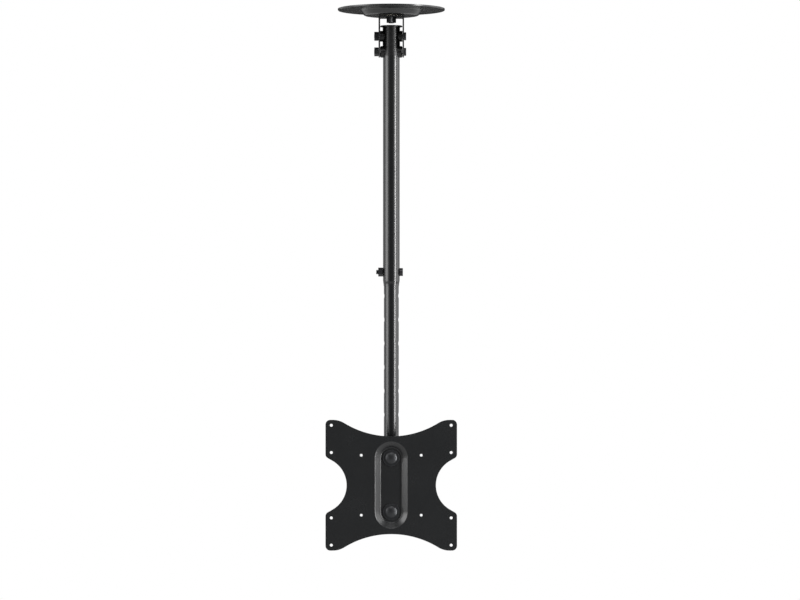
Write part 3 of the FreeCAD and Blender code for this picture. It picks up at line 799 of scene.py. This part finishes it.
def floor_material(studio):
    """Smooth pale paint on concrete.

    It looks white to the camera and in glossy finishes, keeps the mount's soft shadow, and is clear from
    below.
    """
    material = bpy.data.materials.new("pale floor paint")
    tree = empty_tree(material)
    paint = add_node(tree, "ShaderNodeBsdfDiffuse", {"Color": with_alpha(studio.floor_colour)})
    glow = add_node(tree, "ShaderNodeEmission", {"Color": (1, 1, 1, 1), "Strength": 1.0})
    path = add_node(tree, "ShaderNodeLightPath")
    seen = add_node(tree, "ShaderNodeMath", {
        0: path.outputs["Is Camera Ray"], 1: path.outputs["Is Glossy Ray"]}, operation="MAXIMUM")
    share = add_node(tree, "ShaderNodeMath", {
        0: seen.outputs["Value"], 1: studio.floor_white}, operation="MULTIPLY")
    shown = add_node(tree, "ShaderNodeMixShader", {
        "Fac": share.outputs["Value"], 1: paint.outputs["BSDF"], 2: glow.outputs["Emission"]})
    clear = add_node(tree, "ShaderNodeBsdfTransparent")
    below = add_node(tree, "ShaderNodeNewGeometry").outputs["Backfacing"]
    sided = add_node(tree, "ShaderNodeMixShader", {
        "Fac": below, 1: shown.outputs["Shader"], 2: clear.outputs["BSDF"]})
    add_node(tree, "ShaderNodeOutputMaterial", {"Surface": sided.outputs["Shader"]})
    return material


def surroundings(studio):
    """White backdrop, which glossy finishes show at both sides of the mount, in a dim room.

    The camera sees white all round. The room is dim in front, and dimmer behind near the horizon.
    """
    # Where one part of the room passes into the next, as X, Y or Z of a direction that is 1 long
    behind_low, behind_high = 0.08, 0.2
    front_to_behind = 0.2
    side_start, side_full = 0.35, 0.65

    world = bpy.data.worlds.new("studio surroundings")
    tree = empty_tree(world)
    towards = add_node(tree, "ShaderNodeTexCoord").outputs["Generated"]
    along = add_node(tree, "ShaderNodeSeparateXYZ", {"Vector": towards}).outputs
    behind = add_node(tree, "ShaderNodeMapRange", {
        "Value": along["Z"], "From Min": behind_low, "From Max": behind_high,
        "To Min": studio.back_level, "To Max": studio.front_level})
    dim = add_node(tree, "ShaderNodeMapRange", {
        "Value": along["Y"], "From Min": -front_to_behind, "From Max": front_to_behind,
        "To Min": studio.front_level, "To Max": behind.outputs["Result"]})
    aside = add_node(tree, "ShaderNodeMath", {0: along["X"]}, operation="ABSOLUTE").outputs["Value"]
    sides = add_node(tree, "ShaderNodeMapRange", {
        "Value": aside, "From Min": side_start, "From Max": side_full}, interpolation_type="SMOOTHSTEP")
    path = add_node(tree, "ShaderNodeLightPath")
    shown = add_node(tree, "ShaderNodeMath", {
        0: path.outputs["Is Glossy Ray"], 1: sides.outputs["Result"]}, operation="MULTIPLY")
    seen = add_node(tree, "ShaderNodeMath", {
        0: path.outputs["Is Camera Ray"], 1: path.outputs["Is Transmission Ray"]}, operation="MAXIMUM")
    white = add_node(tree, "ShaderNodeMath", {
        0: seen.outputs["Value"], 1: shown.outputs["Value"]}, operation="MAXIMUM")
    level = add_node(tree, "ShaderNodeMix", {
        "Factor": white.outputs["Value"], "A": dim.outputs["Result"], "B": 1.0})
    light = add_node(tree, "ShaderNodeBackground", {
        "Color": (1, 1, 1, 1), "Strength": level.outputs["Result"]})
    add_node(tree, "ShaderNodeOutputWorld", {"Surface": light.outputs["Background"]})
    return world


def soft_lamp(name, place, aim, width, height, level):
    """Flat soft lamp that shines from place to aim. level is its brightness, where 1 is white."""
    lamp = bpy.data.lights.new(name, "AREA")
    lamp.shape = "RECTANGLE"
    lamp.size = width
    lamp.size_y = height
    lamp.energy = level * math.pi * width * height
    holder = bpy.data.objects.new(name, lamp)
    holder.location = place
    holder.rotation_euler = (Vector(aim) - Vector(place)).to_track_quat("-Z", "Y").to_euler()
    holder.visible_camera = False
    bpy.context.scene.collection.objects.link(holder)


def round_the_mount(degrees, distance, height):
    """A place at that angle from the camera's side of the mount, counted towards +X."""
    turn = math.radians(degrees)
    return distance * math.sin(turn), -distance * math.cos(turn), height


class CEILING_MOUNT_OT_stage(bpy.types.Operator):
    """Pale floor, soft lamps, white surroundings and the camera"""

    bl_idname = "ceiling_mount.stage"
    bl_label = "Build the stage"

    def execute(self, context):
        scene = context.scene
        studio = scene.mount_studio
        half = studio.floor_size / 2
        ground = -studio.ceiling_height
        mesh = bpy.data.meshes.new("studio_floor")
        mesh.from_pydata([(-half, -half, ground), (half, -half, ground),
                          (half, half, ground), (-half, half, ground)], [], [(0, 1, 2, 3)])
        mesh.materials.append(floor_material(studio))
        ground_piece = bpy.data.objects.new("studio_floor", mesh)
        scene.collection.objects.link(ground_piece)

        low, high = cad_bounds
        middle = (low + high) / 2
        ceiling = (0, 0, 0)
        soft_lamp("left soft box", round_the_mount(degrees=-68, distance=2.2, height=0), aim=ceiling,
                  width=1.5, height=1.7, level=studio.left_level)
        soft_lamp("right strip lamp", round_the_mount(degrees=58, distance=2.2, height=middle.z),
                  aim=middle, width=0.42, height=2.6, level=studio.strip_level)
        soft_lamp("right soft box", round_the_mount(degrees=92, distance=2.3, height=0), aim=ceiling,
                  width=1.7, height=1.7, level=studio.right_level)
        soft_lamp("top soft box", place=(0, -1.4, 1.2), aim=middle, width=1.6, height=1.2,
                  level=studio.top_level)

        scene.world = surroundings(studio)
        scene.view_settings.view_transform = "Standard"
        lens = bpy.data.cameras.new("camera")
        lens.lens = studio.camera_lens
        camera = bpy.data.objects.new("camera", lens)
        camera.location = studio.camera_place
        looking_level = (math.pi / 2, 0, 0)
        camera.rotation_euler = looking_level
        scene.collection.objects.link(camera)
        scene.camera = camera
        return {"FINISHED"}


class CEILING_MOUNT_PT_looks(bpy.types.Panel):
    """Sizes, colours and steps of the ceiling mount's looks"""

    bl_label = "Ceiling mount"
    bl_idname = "CEILING_MOUNT_PT_looks"
    bl_space_type = "VIEW_3D"
    bl_region_type = "UI"
    bl_category = "Ceiling mount"

    def draw(self, context):
        for holder, _group in GROUPS:
            box = self.layout.box()
            values = getattr(context.scene, holder)
            for name in values.bl_rna.properties.keys():
                if name not in ("rna_type", "name"):
                    box.prop(values, name)
        for operator in OPERATORS:
            self.layout.operator(operator.bl_idname)


GROUPS = (
    ("mount_coats", MountCoats),
    ("mount_fasteners", MountFasteners),
    ("mount_mouldings", MountMouldings),
    ("mount_studio", MountStudio),
)

OPERATORS = (
    CEILING_MOUNT_OT_stage,
    CEILING_MOUNT_OT_coat_sheet,
    CEILING_MOUNT_OT_coat_tubes,
    CEILING_MOUNT_OT_enamel_head,
    CEILING_MOUNT_OT_plate_washers,
    CEILING_MOUNT_OT_mould_nylon,
    CEILING_MOUNT_OT_socket_bolts,
    CEILING_MOUNT_OT_swivel_bolt,
    CEILING_MOUNT_OT_plate_bolts,
    CEILING_MOUNT_OT_lock_nuts,
)


def register():
    for holder, group in GROUPS:
        bpy.utils.register_class(group)
        setattr(bpy.types.Scene, holder, PointerProperty(type=group))
    for operator in OPERATORS:
        bpy.utils.register_class(operator)
    bpy.utils.register_class(CEILING_MOUNT_PT_looks)


def unregister():
    bpy.utils.unregister_class(CEILING_MOUNT_PT_looks)
    for operator in reversed(OPERATORS):
        bpy.utils.unregister_class(operator)
    for holder, group in reversed(GROUPS):
        delattr(bpy.types.Scene, holder)
        bpy.utils.unregister_class(group)


def main():
    """Dresses the frame."""
    register()
    for operator in OPERATORS:
        family, step = operator.bl_idname.split(".")
        getattr(getattr(bpy.ops, family), step)()


if __name__ == "__main__":
    main()
